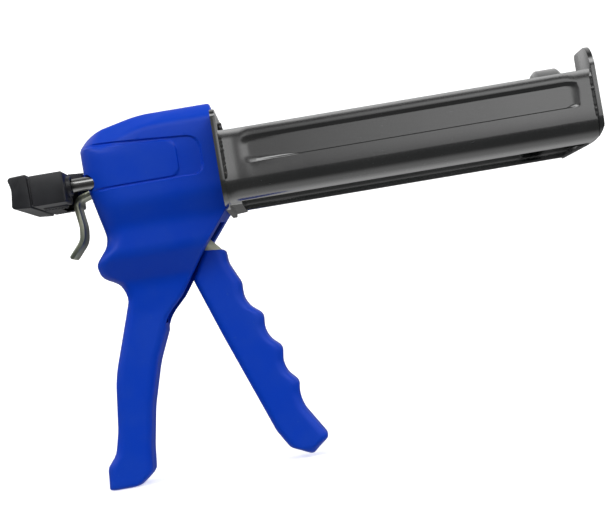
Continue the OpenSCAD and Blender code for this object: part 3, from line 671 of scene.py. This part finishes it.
black_paint, made, shader = new_finish(
    "black_paint", Specular_IOR_Level=0.9, Coat_Weight=1.0, Coat_Roughness=0.12, Coat_IOR=1.9)
peel = made.noise(620, 2, 0.5)
haze = made.noise(22, 3, 0.6)
dust = made.noise(900, 2, 0.6).between(0.70, 0.76) * haze.between(0.45, 0.7)
rub = made.noise(90, 3, 0.6, (0.6, 5, 8)).between(0.69, 0.75)
feed(shader,
     Base_Color=(dust * 0.8 + haze.between(0.3, 0.8) * 0.18 + rub * 0.25).mix(paint_black, paint_dust),
     Roughness=0.24 + (haze - 0.5) * 0.14 + dust * 0.2 + rub * 0.12,
     bump=peel * 0.000014 + dust * 0.00002 + made.noise(13, 2) * 0.0009)
set_piece("cradle_pressing", tray, ["cradle"], black_paint)


# ---- End plates ----
# Flat steel plates across both ends of the tray, blanked, welded on and painted
# with it. The front one has a tall ear and the notch that holds the outlets.
front_half, ear_top, low_top, notch_r = 50.5, 129, 117, 12


def soften(bm, width, angle=30):
    """Rounds the sharp edges of a mesh."""
    edges = [edge for edge in bm.edges if len(edge.link_faces) == 2
             and edge.calc_face_angle(0.0) > math.radians(angle)]
    bmesh.ops.bevel(bm, geom=edges, offset=width, offset_type="OFFSET", segments=2,
                    profile=0.5, affect="EDGES", material=-1)
    return bm


def copy_node(node, width):
    """The CAD node's surface in millimetres, its flat faces joined up and its edges rounded."""
    bm = bmesh.new()
    bm.from_mesh(frame["nodes"][node].data)
    bmesh.ops.scale(bm, vec=(1000, 1000, 1000), verts=bm.verts)
    bmesh.ops.remove_doubles(bm, verts=bm.verts, dist=0.003)
    bmesh.ops.dissolve_limit(bm, angle_limit=math.radians(1), verts=bm.verts, edges=bm.edges)
    return soften(bm, width) if width else bm


corners = [(-front_half, tray_floor, 15.5), (front_half, tray_floor, 15.5), (front_half, low_top, 8),
           (14, low_top, 3), (notch_r, rod_z, 0)]
for i in range(1, 16):
    turn = math.radians(-12 * i)
    corners.append((notch_r * math.cos(turn), rod_z + notch_r * math.sin(turn), 0))
corners += [(-14.5, ear_top, 3), (-front_half, ear_top, 13)]
plate = bmesh.new()
add_prism(plate, corners, lambda a, b: (tray_front, a, b), (plate_front - tray_front, 0, 0))
for x in (289.1, 289.7, 290.3, 290.9):
    bmesh.ops.bisect_plane(plate, geom=plate.faces[:] + plate.edges[:] + plate.verts[:], dist=0.01,
                           plane_co=(x, 0, 0), plane_no=(1, 0, 0))
for vert in plate.verts:
    vert.co.z = max(vert.co.z, front_floor(min(vert.co.x, 291.2)))
set_piece("front_plate_blank", soften(plate, 0.45, 50), ["front_plate"], black_paint)
set_piece("carrier_plate_blank", copy_node("carrier_plate", 0.4), ["carrier_plate"],
          black_paint)


# ---- Weld beads ----
# The fillet welds that join the tray's walls to its end plates, laid by hand in
# short overlapping pools. Paint has flaked from the rear ones and bare metal shows.
def resample(points, gap):
    """Points a steady gap apart along a line of points."""
    spots, left_over = [Vector(points[0])], gap
    for start, end in zip(points, points[1:]):
        start, end = Vector(start), Vector(end)
        length = (end - start).length
        while left_over <= length:
            spots.append(start.lerp(end, left_over / length))
            left_over += gap
        left_over -= length
    return spots


def weld_bead(line, x, toward, leg, pool, lift):
    """A bead along a line (y, z) in the corner of a plate at x, its pools a set length."""
    spots = resample(line, 0.8)
    rings = []
    for i, spot in enumerate(spots):
        ahead = (spots[min(i + 1, len(spots) - 1)] - spots[max(i - 1, 0)]).normalized()
        out = Vector((-ahead.y, ahead.x))
        if out.dot(spot - Vector((0, 95))) < 0:
            out = -out
        swell = 1 + 0.16 * abs(math.sin(math.pi * 0.8 * i / pool))
        swell += 0.14 * math.sin(1.7 * i) * math.cos(0.43 * i)
        end = min(1, 0.35 + 0.3 * min(i, len(spots) - 1 - i))
        ring = []
        for step in range(8):
            turn = math.radians(90 * step / 7)
            reach = leg * swell * end * (0.78 + 0.10 * math.cos(4 * turn))
            at = spot + out * (lift + reach * math.cos(turn))
            ring.append((x + toward * reach * math.sin(turn), at.x, at.y))
        base = spot + out * (lift - 1)
        ring.append((x, base.x, base.y))
        rings.append(ring + ring[:1])
    return loft(rings)


rear_beads = bmesh.new()
for side in (-1, 1):
    up_the_wall = [(side * tray_half, z) for z in (86, 112.4)]
    add_mesh(rear_beads, weld_bead(up_the_wall, tray_back, 1, 1.9, 2.6, flare_out - 0.3))
weld_steel, made, shader = new_finish("weld_steel")
flakes = made.noise(430, 3, 0.7)
bare = flakes.between(0.58, 0.68)
feed(shader,
     Base_Color=bare.mix((0.016, 0.017, 0.016, 1), (0.32, 0.32, 0.30, 1)),
     Metallic=bare, Roughness=0.5 - bare * 0.16 + (made.noise(1500) - 0.5) * 0.2,
     bump=flakes * 0.00035 + made.noise(1700, 2) * 0.00012)
set_piece("rear_weld_beads", rear_beads, ["rear_weld"], weld_steel)

front_beads = bmesh.new()
for side in (-1, 1):
    up_the_wall = [(side * tray_half, z) for z in (86, 112.8)]
    add_mesh(front_beads, weld_bead(up_the_wall, tray_front, -1, 1.3, 3.1, 0))
set_piece("front_weld_beads", front_beads, ["front_weld"], black_paint)


# ---- Screws, pins and rivets ----
# Blackened self-tapping screws hold the housing and the carrier plate, and
# bright turned pins and rivets hold the trigger and its lever.
dark_steel, made, shader = new_finish("dark_steel", Metallic=1.0)
cast = made.noise(300, 3, 0.6)
feed(shader, Base_Color=cast.mix((0.04, 0.04, 0.042, 1), (0.13, 0.13, 0.135, 1)),
     Roughness=0.34 + (cast - 0.5) * 0.3, bump=made.noise(1400, 2) * 0.00001)
bright_steel, made, shader = new_finish("bright_steel", Metallic=1.0)
ground = made.noise(240, 3, 0.6, (18, 1, 1))
clouds = made.noise(45, 2)
feed(shader, Base_Color=clouds.mix((0.20, 0.20, 0.20, 1), (0.34, 0.34, 0.33, 1)),
     Roughness=0.20 + (ground - 0.5) * 0.22 + (clouds - 0.5) * 0.12, bump=ground * 0.000012)
set_piece("housing_screws_driven", copy_node("housing_screws", 0.25), ["housing_screws"],
          dark_steel)
set_piece("carrier_screws_driven", copy_node("carrier_screws", 0.3), ["carrier_screws"],
          dark_steel)
set_piece("roller_pin_turned", copy_node("roller_pin", 0.3), ["roller_pin"], dark_steel)
for node in ("trigger_pin", "trigger_rivets", "trigger_roller"):
    set_piece(node + "_turned", copy_node(node, 0.35), [node], bright_steel)


# ---- Trigger lever and release lever ----
# Both are pressed from sheet steel and zinc plated with a yellow passivate. The
# release lever's tail comes out behind the housing as a thumb tab.
zinc_plate, made, shader = new_finish("zinc_plate", Metallic=1.0)
patch = made.noise(70, 3, 0.65)
brushed = made.noise(900, 2, 0.6, (1, 0.12, 1))
feed(shader, Base_Color=patch.between(0.3, 0.7).mix((0.34, 0.38, 0.31, 1), (0.54, 0.55, 0.42, 1)),
     Roughness=0.36 + (patch - 0.5) * 0.3 + (brushed - 0.5) * 0.15, bump=brushed * 0.00001)
set_piece("trigger_lever_pressing", copy_node("trigger_lever", 0.3), ["trigger_lever"],
          zinc_plate)
set_piece("release_lever_pressing", copy_node("release_lever", 0.5), ["release_lever"],
          zinc_plate)


# ---- Drive plate, guides and springs ----
# The hardened plate that grips the rods, the two moulded blocks that guide
# them, and the wire springs that bring both plates back.
set_piece("drive_plate_blank", copy_node("drive_plate", 0.4), ["drive_plate"],
          bright_steel)
guide_nylon, made, shader = new_finish("guide_nylon")
milky = made.noise(60, 3)
feed(shader, Base_Color=milky.mix((0.30, 0.30, 0.29, 1), (0.40, 0.40, 0.38, 1)),
     Roughness=0.45 + (milky - 0.5) * 0.2, bump=made.noise(900) * 0.00001)
for node in ("rear_guide", "front_guide"):
    set_piece(node + "_moulding", copy_node(node, 0.4), [node], guide_nylon)
for node, joint, fixed_end, keep in (
    ("drive_springs", "drive_slide", 0.057, 0.43), ("catch_springs", "release_lever", 0.014, 0.82),
):
    spring = set_piece(node + "_wound", copy_node(node, 0), [node], bright_steel, 60)
    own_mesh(spring)


# ---- Push rods and pushers ----
# Two ground steel rods run right through the gun. Each carries a black disc
# that pushes on the cartridge's piston, held by a nut and a retaining ring.
for side in ("right", "left"):
    node = "push_rod_" + side
    set_piece(node + "_ground", copy_node(node, 0.4), [node], bright_steel)
    node = "pusher_" + side
    set_piece(node + "_disc", copy_node(node, 0.5), [node], black_paint)
for node in ("pusher_nuts", "pusher_clips"):
    set_piece(node + "_fitted", copy_node(node, 0.25), [node], bright_steel)


# ---- Pull knob ----
# A black plastic bar across both rods with a separate cap behind it, and the
# two socket screws that clamp the cap and the bar to the rod ends.
black_plastic, made, shader = new_finish("black_plastic", Specular_IOR_Level=0.5)
texture = made.noise(1500, 2, 0.6)
bloom = made.noise(40, 3, 0.6)
feed(shader, Base_Color=bloom.between(0.3, 0.75).mix((0.016, 0.017, 0.020, 1), (0.032, 0.033, 0.038, 1)),
     Roughness=0.40 + (bloom - 0.5) * 0.2 + (texture - 0.5) * 0.16, bump=texture * 0.00003)
set_piece("pull_knob_moulding", copy_node("pull_knob", 0.6), ["pull_knob"],
          black_plastic)
set_piece("knob_cap_moulding", copy_node("knob_cap", 0.5), ["knob_cap"],
          black_plastic)
set_piece("knob_screws_driven", copy_node("knob_screws", 0.25), ["knob_screws"],
          dark_steel)
